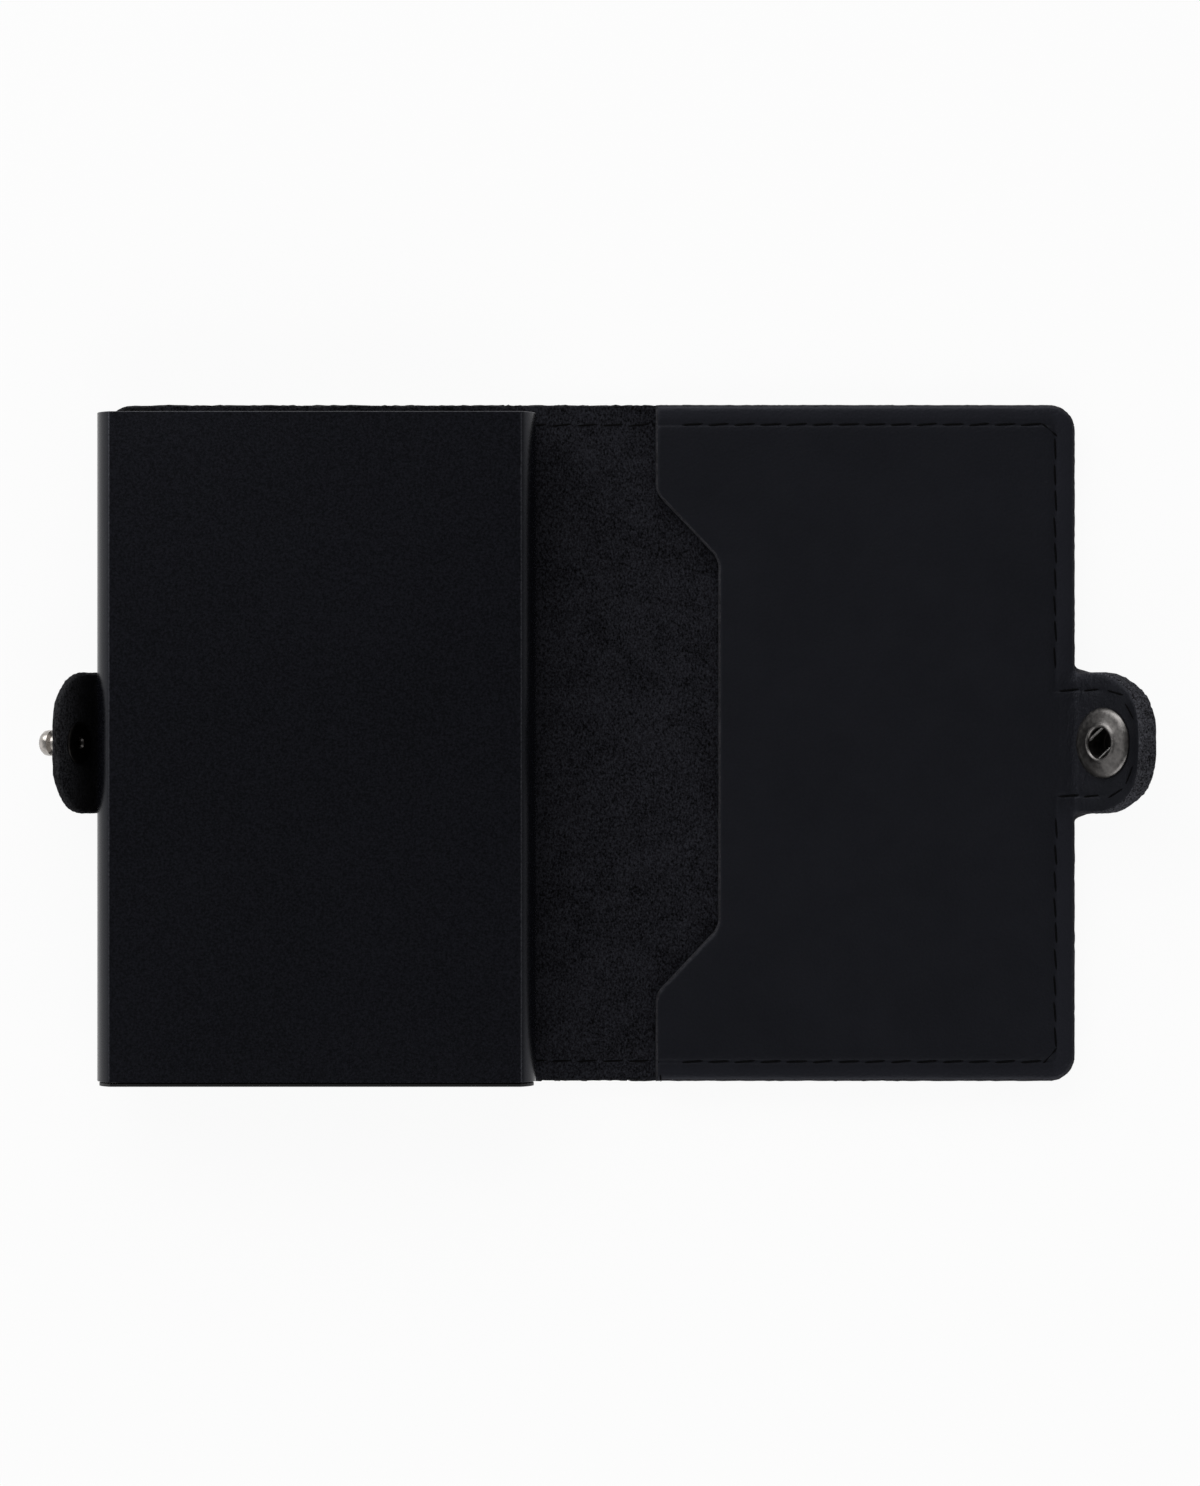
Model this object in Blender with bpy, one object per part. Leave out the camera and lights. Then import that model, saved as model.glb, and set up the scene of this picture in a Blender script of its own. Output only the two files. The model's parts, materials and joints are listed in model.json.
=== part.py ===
import math

import bmesh
import bpy

for old in list(bpy.data.objects):
    bpy.data.objects.remove(old, do_unlink=True)

MM = 0.001

# Gaps between pieces that touch, between leather halves at a fold, and round the pin.
SEAT_GAP = 0.2 * MM
FOLD_GAP = 0.3 * MM
PIN_CLEARANCE = 0.1 * MM
CLEARANCE = 0.3 * MM

# Card case: a drawn aluminium sleeve with rounded long sides, open at the top end.
CASE_WIDTH = 62.0 * MM
CASE_LENGTH = 95.0 * MM
CASE_THICKNESS = 8.0 * MM
CASE_WALL = 1.0 * MM
CASE_SIDE_BULGE = 2.0 * MM
CASE_OFFSET = -0.85 * MM
CASE_SIDE_WALL = 3.2 * MM

# Leather wrap, pocket and the tape that holds the case on the wrap.
LEATHER = 1.4 * MM
LINING = 1.2 * MM
LEATHER_OVERLAP = 0.75 * MM
BACK_EDGE_INSET = 0.8 * MM
CORNER_RADIUS = 2.7 * MM
TAPE = 0.3 * MM
TAPE_INSET = 2.5 * MM
SPINE_CLEARANCE = 0.35 * MM
FOLD_ANGLE = math.radians(60.0)
FLAP_ROOM = 0.9 * MM
POCKET_SETBACK = 5.7 * MM
POCKET_NOTCH_DEPTH = 8.9 * MM
POCKET_SHOULDER = 12.45 * MM
POCKET_NOTCH_SLOPE = 9.4 * MM
POCKET_NOTCH_ROUND = 1.2 * MM

# Tabs that close the wallet, at their rest angles above the wrap.
TAB_WIDTH = 20.0 * MM
CLOSING_TAB_LENGTH = 12.5 * MM
CLOSING_TAB_CORNER = 8.0 * MM
CLOSING_TAB_TILT = math.radians(48.0)
STUD_TAB_STANDOFF = 0.8 * MM
STUD_TAB_CORNER = 8.5 * MM
STUD_TAB_TILT = math.radians(63.0)
STUD_TAB_TIP_CLEARANCE = 0.4 * MM

# Press stud: socket and cap on the closing tab, stud and eyelet on the other.
SOCKET_RADIUS = 5.0 * MM
SOCKET_HEIGHT = 1.2 * MM
SOCKET_RIM = 0.35 * MM
SOCKET_MARGIN = 0.3 * MM
SOCKET_BORE = 2.15 * MM
SOCKET_WALL = 0.65 * MM
SOCKET_BASE = 0.3 * MM
SPRING_WIRE = 0.2 * MM
SPRING_REACH = 1.6 * MM
SPRING_TURN = math.radians(35.0)
CAP_RADIUS = 5.5 * MM
CAP_RIM = 0.5 * MM
CAP_DOME = 0.9 * MM
CAP_POST = 1.2 * MM
CAP_FLARE = 0.6 * MM
STUD_FLANGE_RADIUS = 3.2 * MM
STUD_FLANGE = 0.6 * MM
STUD_NECK = 1.25 * MM
STUD_HEAD = 1.85 * MM
STUD_HEIGHT = 4.6 * MM
STUD_HEAD_HEIGHT = 1.7 * MM
STUD_HEAD_DOME = 0.85 * MM
SNAP_PLAY = 0.75 * MM
EYELET_RADIUS = 3.0 * MM
EYELET_FLANGE = 0.3 * MM
EYELET_TUBE = 0.9 * MM
EYELET_REACH = 1.2 * MM

# Ejector in the bottom end: a stepped lever on a pin, in a plastic cap.
PLUG_LIP = 0.4 * MM
PLUG_DEPTH = 8.0 * MM
PLUG_FLOOR = 1.2 * MM
LEVER_THICKNESS = 3.7 * MM
LEVER_HEIGHT = 6.2 * MM
LEVER_FIRST_STEP = 20.0 * MM
LEVER_STEPS = 5
LEVER_PIVOT_INSET = 5.5 * MM
PIN_RADIUS = 1.0 * MM
PAD_START = 4.5 * MM
PAD_WIDTH = 13.0 * MM
PAD_RECESS = 0.1 * MM
PAD_TRAVEL_ROOM = 1.6 * MM
LEVER_END_ROOM = 0.6 * MM

# Felt strips inside the mouth that keep the cards from sliding out.
FELT = 0.4 * MM
FELT_WIDTH = 40.0 * MM
FELT_LENGTH = 8.0 * MM
FELT_FROM_MOUTH = 6.0 * MM

# Sewing thread along the pocket's edges and round the closing tab.
THREAD_RADIUS = 0.22 * MM
STITCH_INSET = 2.8 * MM
TAB_STITCH_INSET = 2.6 * MM
TAB_STITCH_TIP = 1.3 * MM

# Facets of round shapes: case sides, turned pieces, holes, corners, arcs, domes and the lever's heel.
SIDE_STEPS = 12
ROUND_STEPS = 32
HOLE_STEPS = 24
CORNER_STEPS = 6
TAB_CORNER_STEPS = 10
ARC_STEPS = 6
DOME_STEPS = 4
HEEL_STEPS = 10
SMOOTH_ANGLE = math.radians(30.0)
MERGE_DISTANCE = 0.001 * MM
AXIS_SIZE = 5.0 * MM

# Levels, counted up from the face the wallet lies on.
tape_bottom = LEATHER + SEAT_GAP
case_bottom = tape_bottom + TAPE + SEAT_GAP
case_top = case_bottom + CASE_THICKNESS
case_middle = (case_bottom + case_top) / 2
pocket_bottom = LEATHER + FOLD_GAP
pocket_top = pocket_bottom + LINING
layers = pocket_top

# The side of the case is an arc whose height is the case's thickness.
side_radius = ((CASE_THICKNESS / 2) ** 2 + CASE_SIDE_BULGE ** 2) / (2 * CASE_SIDE_BULGE)
side_centre = CASE_WIDTH / 2 - side_radius
side_angle = math.asin(CASE_THICKNESS / 2 / side_radius)
case_foot = CASE_OFFSET - CASE_LENGTH / 2
case_head = CASE_OFFSET + CASE_LENGTH / 2
room_half = CASE_THICKNESS / 2 - CASE_WALL
card_room = CASE_WIDTH - 2 * CASE_SIDE_WALL
leather_height = CASE_LENGTH + 2 * LEATHER_OVERLAP

# Fold lines lie on the wrap's inner face. Closed, the two spine strips lean round the case's
# side, the flap lies over its front, and the socket comes to the height of the stud.
near_fold_x = side_centre + (
    side_radius + SPINE_CLEARANCE - (case_middle - LEATHER) * math.cos(FOLD_ANGLE)
) / math.sin(FOLD_ANGLE)
closed_lining = case_top + FLAP_ROOM
closed_flap = closed_lining + pocket_top - LEATHER
strip_length = (closed_flap - LEATHER) / (2 * math.sin(FOLD_ANGLE))
middle_fold_x = near_fold_x + strip_length
far_fold_x = middle_fold_x + strip_length
stud_fold_x = -(CASE_WIDTH / 2 + STUD_TAB_STANDOFF)
snap_gap = SOCKET_HEIGHT + STUD_FLANGE + SEAT_GAP + SNAP_PLAY
closing_fold_x = near_fold_x + far_fold_x - stud_fold_x + LEATHER + snap_gap
socket_reach = SOCKET_RADIUS + SOCKET_MARGIN
stud_reach = closed_lining - LEATHER - socket_reach
stud_tab_length = closed_lining - LEATHER - STUD_TAB_TIP_CLEARANCE
flap_edge = closing_fold_x - FOLD_GAP / 2


def material(name, colour, roughness, metallic=0.0):
    mat = bpy.data.materials.new(name)
    mat.use_nodes = True
    shader = mat.node_tree.nodes["Principled BSDF"]
    shader.inputs["Base Color"].default_value = (*colour, 1.0)
    shader.inputs["Roughness"].default_value = roughness
    shader.inputs["Metallic"].default_value = metallic
    return mat


def add_object(name, bm, mat, parent=None):
    bmesh.ops.recalc_face_normals(bm, faces=bm.faces)
    mesh = bpy.data.meshes.new(name)
    bm.to_mesh(mesh)
    bm.free()
    obj = bpy.data.objects.new(name, mesh)
    bpy.context.collection.objects.link(obj)
    obj.parent = parent
    if mat:
        mesh.materials.append(mat)
    return obj


def add_axis(name, location, rotation=(0.0, 0.0, 0.0), parent=None):
    # An empty on a joint's axis. Its location is given in world space.
    empty = bpy.data.objects.new(name, None)
    bpy.context.collection.objects.link(empty)
    empty.empty_display_size = AXIS_SIZE
    empty.location = location
    empty.rotation_euler = rotation
    if parent:
        empty.parent = parent
        empty.matrix_parent_inverse = parent.matrix_world.inverted()
    bpy.context.view_layer.update()
    return empty


def prism(outline, low, high, along="Z"):
    # An outline swept along Z from the XY plane, or along Y from the XZ plane.
    bm = bmesh.new()
    if along == "Z":
        corners = [bm.verts.new((a, b, low)) for a, b in outline]
        step = (0.0, 0.0, high - low)
    else:
        corners = [bm.verts.new((a, low, b)) for a, b in outline]
        step = (0.0, high - low, 0.0)
    face = bm.faces.new(corners)
    swept = bmesh.ops.extrude_face_region(bm, geom=[face])["geom"]
    moved = [item for item in swept if isinstance(item, bmesh.types.BMVert)]
    bmesh.ops.translate(bm, verts=moved, vec=step)
    return bm


def box(x_low, x_high, y_low, y_high, z_low, z_high):
    corners = [(x_low, y_low), (x_high, y_low), (x_high, y_high), (x_low, y_high)]
    return prism(corners, z_low, z_high)


def turned(profile, closed):
    # A profile of (radius, height) points spun round the local Z axis.
    bm = bmesh.new()
    points = [bm.verts.new((radius, 0.0, height)) for radius, height in profile]
    pairs = list(zip(points, points[1:]))
    if closed:
        pairs.append((points[-1], points[0]))
    edges = [bm.edges.new(pair) for pair in pairs]
    bmesh.ops.spin(
        bm, geom=points + edges, cent=(0.0, 0.0, 0.0), axis=(0.0, 0.0, 1.0),
        angle=2 * math.pi, steps=ROUND_STEPS, use_merge=True,
    )
    bmesh.ops.remove_doubles(bm, verts=bm.verts, dist=MERGE_DISTANCE)
    return bm


def dome(radius, start, rise):
    # A quarter ellipse of (radius, height) points from the rim in to the axis.
    turns = [math.pi / 2 * i / DOME_STEPS for i in range(DOME_STEPS + 1)]
    return [(radius * math.cos(turn), start + rise * math.sin(turn)) for turn in turns]


def circle(x, y, radius):
    turns = [2 * math.pi * i / HOLE_STEPS for i in range(HOLE_STEPS)]
    return [(x + radius * math.cos(turn), y + radius * math.sin(turn)) for turn in turns]


def rounded(corners, steps=CORNER_STEPS):
    # Corners are (x, y, radius). Each is replaced by an arc that touches both its edges.
    outline = []
    for i, (x, y, radius) in enumerate(corners):
        if radius == 0:
            outline.append((x, y))
            continue
        before = corners[i - 1]
        after = corners[(i + 1) % len(corners)]
        back = math.atan2(before[1] - y, before[0] - x)
        ahead = math.atan2(after[1] - y, after[0] - x)
        turn = math.atan2(math.sin(ahead - back), math.cos(ahead - back))
        reach = radius / math.sin(abs(turn) / 2)
        centre_x = x + reach * math.cos(back + turn / 2)
        centre_y = y + reach * math.sin(back + turn / 2)
        sweep = math.copysign(math.pi - abs(turn), turn)
        start = back + math.copysign(math.pi / 2, turn) + math.pi
        for k in range(steps + 1):
            angle = start - sweep * k / steps
            outline.append((centre_x + radius * math.cos(angle), centre_y + radius * math.sin(angle)))
    return outline


def cutter(name, bm, parent=None):
    obj = add_object(name, bm, None, parent)
    obj.hide_render = True
    obj.display_type = "WIRE"
    return obj


def boolean(obj, tool, operation="DIFFERENCE"):
    mod = obj.modifiers.new(operation.lower(), "BOOLEAN")
    mod.operation = operation
    mod.solver = "EXACT"
    mod.object = tool


def soften(obj):
    obj.data.shade_smooth()
    obj.data.set_sharp_from_angle(angle=SMOOTH_ANGLE)


def tube(name, points, radius, mat, parent=None, cyclic=False):
    # A wire or thread along a line of points.
    curve = bpy.data.curves.new(name, "CURVE")
    curve.dimensions = "3D"
    curve.bevel_depth = radius
    curve.bevel_resolution = 1
    curve.use_fill_caps = True
    spline = curve.splines.new("POLY")
    spline.points.add(len(points) - 1)
    for point, place in zip(spline.points, points):
        point.co = (*place, 1.0)
    spline.use_cyclic_u = cyclic
    curve.materials.append(mat)
    obj = bpy.data.objects.new(name, curve)
    bpy.context.collection.objects.link(obj)
    obj.parent = parent
    return obj


def case_outline(inset=0.0):
    # Flat front and back joined by the two bulging sides, in the XZ plane.
    half = CASE_THICKNESS / 2 - inset
    radius = side_radius - inset
    angle = math.asin(half / radius)
    outline = []
    for side in (1, -1):
        for i in range(SIDE_STEPS + 1):
            turn = side * angle * (2 * i / SIDE_STEPS - 1)
            x = side * (side_centre + radius * math.cos(turn))
            outline.append((x, case_middle + radius * math.sin(turn)))
    return outline


def build_case(anodised, plastic, steel, felt):
    shell_foot = case_foot + PLUG_LIP + SEAT_GAP
    shell = add_object("card_case", prism(case_outline(), shell_foot, case_head, "Y"), anodised)
    past = CASE_WALL
    room = box(
        -card_room / 2, card_room / 2, shell_foot - past, case_head + past,
        case_middle - room_half, case_middle + room_half,
    )
    boolean(shell, cutter("card_room", room))
    soften(shell)

    # The cap plugs the foot of the sleeve, and its lip covers the sleeve's end.
    plug_half = room_half - CLEARANCE
    plug_side = card_room / 2 - CLEARANCE
    plug_top = case_foot + PLUG_LIP + PLUG_DEPTH
    lip = prism(case_outline(CLEARANCE), case_foot, case_foot + PLUG_LIP, "Y")
    cap = add_object("bottom_cap", lip, plastic)
    plug = box(
        -plug_side, plug_side, case_foot + PLUG_LIP / 2, plug_top,
        case_middle - plug_half, case_middle + plug_half,
    )
    boolean(cap, cutter("cap_plug", plug), "UNION")

    # The lever lies along the cap, turns on its pin and is pressed through a window.
    lever_half = LEVER_THICKNESS / 2
    lever_round = LEVER_HEIGHT / 2
    lever_reach = 2 * (plug_side - LEVER_PIVOT_INSET)
    lever_foot = case_foot + PLUG_FLOOR + CLEARANCE
    pivot_x = -plug_side + LEVER_PIVOT_INSET
    pivot_y = lever_foot + lever_round
    nest_half = lever_half + SEAT_GAP
    nest = box(
        pivot_x - lever_round - CLEARANCE, pivot_x + lever_reach + LEVER_END_ROOM,
        case_foot + PLUG_FLOOR, plug_top + past,
        case_middle - nest_half, case_middle + nest_half,
    )
    boolean(cap, cutter("lever_nest", nest))
    window = box(
        pivot_x + PAD_START - CLEARANCE, pivot_x + PAD_START + PAD_WIDTH + PAD_TRAVEL_ROOM,
        case_foot - past, case_foot + PLUG_FLOOR + past,
        case_middle - nest_half, case_middle + nest_half,
    )
    boolean(cap, cutter("thumb_window", window))
    hole_half = plug_half + past
    hole = prism(
        circle(pivot_x, pivot_y, PIN_RADIUS + PIN_CLEARANCE), case_middle - hole_half, case_middle + hole_half
    )
    pin_hole = cutter("pin_hole", hole)
    boolean(cap, pin_hole)
    pin = prism(circle(pivot_x, pivot_y, PIN_RADIUS), case_middle - plug_half, case_middle + plug_half)
    soften(add_object("lever_pin", pin, steel))

    axis = add_axis("ejector_axis", (pivot_x, pivot_y, case_middle))
    pad_foot = case_foot + PAD_RECESS - pivot_y
    outline = [
        (0.0, -lever_round), (PAD_START, -lever_round), (PAD_START, pad_foot),
        (PAD_START + PAD_WIDTH, pad_foot), (PAD_START + PAD_WIDTH, -lever_round),
        (lever_reach, -lever_round), (lever_reach, lever_round), (0.0, lever_round),
    ]
    for i in range(1, HEEL_STEPS):
        turn = math.pi / 2 + math.pi * i / HEEL_STEPS
        outline.append((lever_round * math.cos(turn), lever_round * math.sin(turn)))
    lever = add_object("ejector_lever", prism(outline, -lever_half, lever_half), plastic, axis)
    tread = (lever_reach - LEVER_FIRST_STEP) / (LEVER_STEPS - 1)
    layer = LEVER_THICKNESS / LEVER_STEPS
    stair = [(lever_reach + past, lever_half + past), (LEVER_FIRST_STEP, lever_half + past)]
    for i in range(LEVER_STEPS - 1):
        level = lever_half - layer * (i + 1)
        stair.append((LEVER_FIRST_STEP + tread * i, level))
        stair.append((LEVER_FIRST_STEP + tread * (i + 1), level))
    stair[-1] = (lever_reach + past, stair[-1][1])
    stair_cut = prism(stair, -lever_round - past, lever_round + past, "Y")
    boolean(lever, cutter("lever_stair", stair_cut, axis))
    boolean(lever, pin_hole)

    felt_end = case_head - FELT_FROM_MOUTH
    for name, side in (("front_felt", 1), ("rear_felt", -1)):
        wall = case_middle + side * (room_half - SEAT_GAP)
        levels = sorted((wall, wall - side * FELT))
        strip = box(-FELT_WIDTH / 2, FELT_WIDTH / 2, felt_end - FELT_LENGTH, felt_end, *levels)
        add_object(name, strip, felt)


def build_wrap(leather, tape_mat):
    half = leather_height / 2
    gap = FOLD_GAP / 2
    # The back stops under the case's side, and reaches past it only where the tab starts.
    edge = BACK_EDGE_INSET - CASE_WIDTH / 2
    root = stud_fold_x + gap
    root_half = TAB_WIDTH / 2
    back = rounded([
        (edge, -half, CORNER_RADIUS), (near_fold_x - gap, -half, 0),
        (near_fold_x - gap, half, 0), (edge, half, CORNER_RADIUS),
        (edge, root_half, 0), (root, root_half, 0), (root, -root_half, 0), (edge, -root_half, 0),
    ])
    add_object("back_panel", prism(back, 0.0, LEATHER), leather)
    tape_side = side_centre + side_radius * math.cos(side_angle) - TAPE_INSET
    tape = box(
        -tape_side, tape_side, case_foot + TAPE_INSET, case_head - TAPE_INSET,
        tape_bottom, tape_bottom + TAPE,
    )
    add_object("case_tape", tape, tape_mat)

    near_axis = add_axis("spine_fold_axis", (near_fold_x, 0.0, LEATHER))
    strip = box(gap, strip_length - gap, -half, half, -LEATHER, 0.0)
    add_object("spine_near_strip", strip, leather, near_axis)
    middle_axis = add_axis("spine_middle_axis", (middle_fold_x, 0.0, LEATHER), parent=near_axis)
    strip = box(gap, strip_length - gap, -half, half, -LEATHER, 0.0)
    add_object("spine_far_strip", strip, leather, middle_axis)

    flap_axis = add_axis("flap_fold_axis", (far_fold_x, 0.0, LEATHER), parent=middle_axis)
    width = flap_edge - far_fold_x
    flap = rounded([
        (gap, -half, 0), (width, -half, CORNER_RADIUS), (width, half, CORNER_RADIUS), (gap, half, 0),
    ])
    add_object("flap_panel", prism(flap, -LEATHER, 0.0), leather, flap_axis)
    return flap_axis


def build_pocket(flap_axis, leather, thread):
    half = leather_height / 2
    left = POCKET_SETBACK
    deep = left + POCKET_NOTCH_DEPTH
    right = flap_edge - far_fold_x
    mouth = half - POCKET_SHOULDER
    floor = mouth - POCKET_NOTCH_SLOPE
    bend = POCKET_NOTCH_ROUND
    outline = rounded([
        (left, -half, 0), (right, -half, CORNER_RADIUS), (right, half, CORNER_RADIUS), (left, half, 0),
        (left, mouth, bend), (deep, floor, bend), (deep, -floor, bend), (left, -mouth, bend),
    ])
    low = pocket_bottom - LEATHER
    high = pocket_top - LEATHER
    add_object("pocket_panel", prism(outline, low, high), leather, flap_axis)

    # Each thread runs from the pocket's mouth along one edge and round the corner to the tab.
    level = high + THREAD_RADIUS + SEAT_GAP
    line_x = right - STITCH_INSET
    line_y = half - STITCH_INSET
    corner = max(CORNER_RADIUS - STITCH_INSET, 0) + STITCH_INSET / 2
    for name, side in (("upper_pocket_thread", 1), ("lower_pocket_thread", -1)):
        path = [(left + STITCH_INSET / 2, side * line_y, level)]
        for i in range(ARC_STEPS + 1):
            turn = math.pi / 2 * i / ARC_STEPS
            x = line_x - corner + corner * math.sin(turn)
            y = line_y - corner + corner * math.cos(turn)
            path.append((x, side * y, level))
        path.append((line_x, side * TAB_WIDTH / 2, level))
        tube(name, path, THREAD_RADIUS, thread, flap_axis)


def tab_outline(length, corner, half=TAB_WIDTH / 2):
    start = FOLD_GAP / 2
    corners = [(start, -half, 0), (length, -half, corner), (length, half, corner), (start, half, 0)]
    return rounded(corners, TAB_CORNER_STEPS)


def build_closing_tab(flap_axis, leather, metal, steel, thread):
    # Local X runs along the tab, and local Z stands out of its inner face.
    axis = add_axis(
        "closing_tab_axis", (closing_fold_x, 0.0, pocket_top), (0.0, -CLOSING_TAB_TILT, 0.0), flap_axis
    )
    shape = tab_outline(CLOSING_TAB_LENGTH, CLOSING_TAB_CORNER)
    lining = add_object("closing_tab_lining", prism(shape, -LINING, 0.0), leather, axis)
    outer = add_object("closing_tab_outer", prism(shape, -layers, -layers + LEATHER), leather, axis)
    barrel = SOCKET_BORE + SOCKET_WALL
    hole = prism(circle(socket_reach, 0.0, barrel + CLEARANCE), -2 * layers, layers)
    barrel_hole = cutter("barrel_hole", hole, axis)
    boolean(lining, barrel_hole)
    boolean(outer, barrel_hole)

    level = THREAD_RADIUS + SEAT_GAP
    line_half = TAB_WIDTH / 2 - TAB_STITCH_INSET
    line_end = CLOSING_TAB_LENGTH - TAB_STITCH_TIP
    line = tab_outline(line_end, CLOSING_TAB_CORNER - TAB_STITCH_INSET, line_half)
    path = [(x, y, level) for x, y in line]
    tube("closing_tab_thread", path, THREAD_RADIUS, thread, axis)

    snap = add_axis("socket_axis", (0.0, 0.0, 0.0))
    snap.parent = axis
    snap.location = (socket_reach, 0.0, 0.0)
    foot = SEAT_GAP / 2
    groove_low = SOCKET_HEIGHT / 2 - SPRING_WIRE - SEAT_GAP / 2
    groove_high = SOCKET_HEIGHT / 2 + SPRING_WIRE + SEAT_GAP / 2
    groove = barrel - SEAT_GAP / 2
    base = -layers + SOCKET_BASE + SEAT_GAP
    post_hole = CAP_POST + CLEARANCE
    socket = turned([
        (SOCKET_BORE, SOCKET_HEIGHT), (SOCKET_RADIUS - SOCKET_RIM, SOCKET_HEIGHT),
        (SOCKET_RADIUS, SOCKET_HEIGHT - SOCKET_RIM), (SOCKET_RADIUS, foot), (barrel, foot),
        (barrel, base - SOCKET_BASE), (post_hole, base - SOCKET_BASE), (post_hole, base),
        (SOCKET_BORE, base), (SOCKET_BORE, groove_low), (groove, groove_low),
        (groove, groove_high), (SOCKET_BORE, groove_high),
    ], True)
    soften(add_object("snap_socket", socket, metal, snap))

    # The wire spring bows round the groove and crosses the bore on two straight runs.
    bow = groove - SEAT_GAP / 2 - SPRING_WIRE
    spread = math.acos(SPRING_REACH / bow)
    wire = []
    for side in (0, math.pi):
        for i in range(ARC_STEPS + 1):
            turn = SPRING_TURN + side + (math.pi / 2 - spread) * (2 * i / ARC_STEPS - 1)
            wire.append((bow * math.cos(turn), bow * math.sin(turn), SOCKET_HEIGHT / 2))
    tube("socket_spring", wire, SPRING_WIRE, steel, snap, cyclic=True)

    seat = -layers - SEAT_GAP / 2
    flare_low = base + SEAT_GAP / 2
    cap = turned([
        (0.0, flare_low + SOCKET_BASE), (CAP_POST + CAP_FLARE, flare_low + SOCKET_BASE),
        (CAP_POST + CAP_FLARE, flare_low), (CAP_POST, flare_low), (CAP_POST, seat),
        (CAP_RADIUS, seat), *dome(CAP_RADIUS, seat - CAP_RIM, -CAP_DOME),
    ], False)
    soften(add_object("snap_cap", cap, metal, snap))


def build_stud_tab(leather, metal):
    axis = add_axis(
        "stud_tab_axis", (stud_fold_x, 0.0, LEATHER), (0.0, -STUD_TAB_TILT, math.pi)
    )
    shape = tab_outline(stud_tab_length, STUD_TAB_CORNER)
    tab = add_object("stud_tab", prism(shape, -LEATHER, 0.0), leather, axis)
    hole = prism(circle(stud_reach, 0.0, EYELET_TUBE + CLEARANCE), -2 * LEATHER, LEATHER)
    boolean(tab, cutter("eyelet_hole", hole, axis))

    snap = add_axis("stud_axis", (0.0, 0.0, 0.0))
    snap.parent = axis
    snap.location = (stud_reach, 0.0, 0.0)
    seat = -LEATHER - SEAT_GAP / 2
    flange = seat - STUD_FLANGE
    tip = -LEATHER - STUD_HEIGHT
    head = tip + STUD_HEAD_HEIGHT
    bore = EYELET_TUBE + SEAT_GAP
    bore_end = -LEATHER - EYELET_REACH - SEAT_GAP
    stud = turned([
        (0.0, bore_end), (bore, bore_end), (bore, seat), (STUD_FLANGE_RADIUS, seat),
        (STUD_FLANGE_RADIUS, flange), (STUD_NECK, flange), (STUD_NECK, head + SEAT_GAP),
        (STUD_HEAD, head), *dome(STUD_HEAD, tip + STUD_HEAD_DOME, -STUD_HEAD_DOME),
    ], False)
    soften(add_object("snap_stud", stud, metal, snap))
    eyelet_seat = SEAT_GAP / 2
    eyelet = turned([
        (0.0, eyelet_seat + EYELET_FLANGE), (EYELET_RADIUS, eyelet_seat + EYELET_FLANGE),
        (EYELET_RADIUS, eyelet_seat), (EYELET_TUBE, eyelet_seat),
        (EYELET_TUBE, -LEATHER - EYELET_REACH), (0.0, -LEATHER - EYELET_REACH),
    ], False)
    soften(add_object("stud_eyelet", eyelet, metal, snap))


def main():
    anodised = material("black_anodised_aluminium", (0.010, 0.010, 0.012), 0.42, 0.6)
    plastic = material("black_plastic", (0.012, 0.012, 0.013), 0.5)
    steel = material("spring_steel", (0.45, 0.44, 0.42), 0.3, 1.0)
    felt = material("grey_felt", (0.05, 0.05, 0.052), 0.95)
    suede = material("black_leather", (0.011, 0.011, 0.013), 0.75)
    lining = material("black_lining_leather", (0.010, 0.010, 0.013), 0.5)
    tape = material("tape", (0.3, 0.3, 0.3), 0.7)
    metal = material("dark_nickel", (0.20, 0.195, 0.19), 0.3, 1.0)
    thread = material("black_thread", (0.008, 0.008, 0.009), 0.8)
    build_case(anodised, plastic, steel, felt)
    flap_axis = build_wrap(suede, tape)
    build_pocket(flap_axis, lining, thread)
    build_closing_tab(flap_axis, lining, metal, steel, thread)
    build_stud_tab(suede, metal)


main()
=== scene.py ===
import json
import math
import random

import bpy
from mathutils import Matrix, Vector
from mathutils.kdtree import KDTree


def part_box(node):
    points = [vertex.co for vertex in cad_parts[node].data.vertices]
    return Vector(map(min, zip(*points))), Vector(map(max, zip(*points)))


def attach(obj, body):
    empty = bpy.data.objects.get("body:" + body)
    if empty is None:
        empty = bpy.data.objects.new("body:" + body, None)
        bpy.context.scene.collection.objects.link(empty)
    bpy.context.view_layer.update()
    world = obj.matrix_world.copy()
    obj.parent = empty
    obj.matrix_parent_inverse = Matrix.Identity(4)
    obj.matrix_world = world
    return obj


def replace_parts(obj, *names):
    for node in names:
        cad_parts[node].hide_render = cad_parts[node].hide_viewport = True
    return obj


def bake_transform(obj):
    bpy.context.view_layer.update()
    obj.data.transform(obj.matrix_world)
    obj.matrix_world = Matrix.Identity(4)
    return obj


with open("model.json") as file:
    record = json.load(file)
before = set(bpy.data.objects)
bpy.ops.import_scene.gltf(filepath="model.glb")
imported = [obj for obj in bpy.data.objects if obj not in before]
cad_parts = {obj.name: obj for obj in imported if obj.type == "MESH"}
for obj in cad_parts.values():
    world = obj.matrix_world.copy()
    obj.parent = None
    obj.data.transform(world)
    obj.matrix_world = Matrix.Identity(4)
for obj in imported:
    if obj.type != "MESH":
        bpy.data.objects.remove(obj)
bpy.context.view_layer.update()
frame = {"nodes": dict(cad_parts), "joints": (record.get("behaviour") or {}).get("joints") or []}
mm = 0.001
touching = 0.001 * mm
hinge = {joint["name"]: Vector(joint["pos_m"]) for joint in frame["joints"]}
restTilt = {joint["name"]: -math.radians(joint["range_deg"][0]) for joint in frame["joints"]}
dice = random.Random(7)


# modelling by hand: selections and finished meshes

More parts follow.
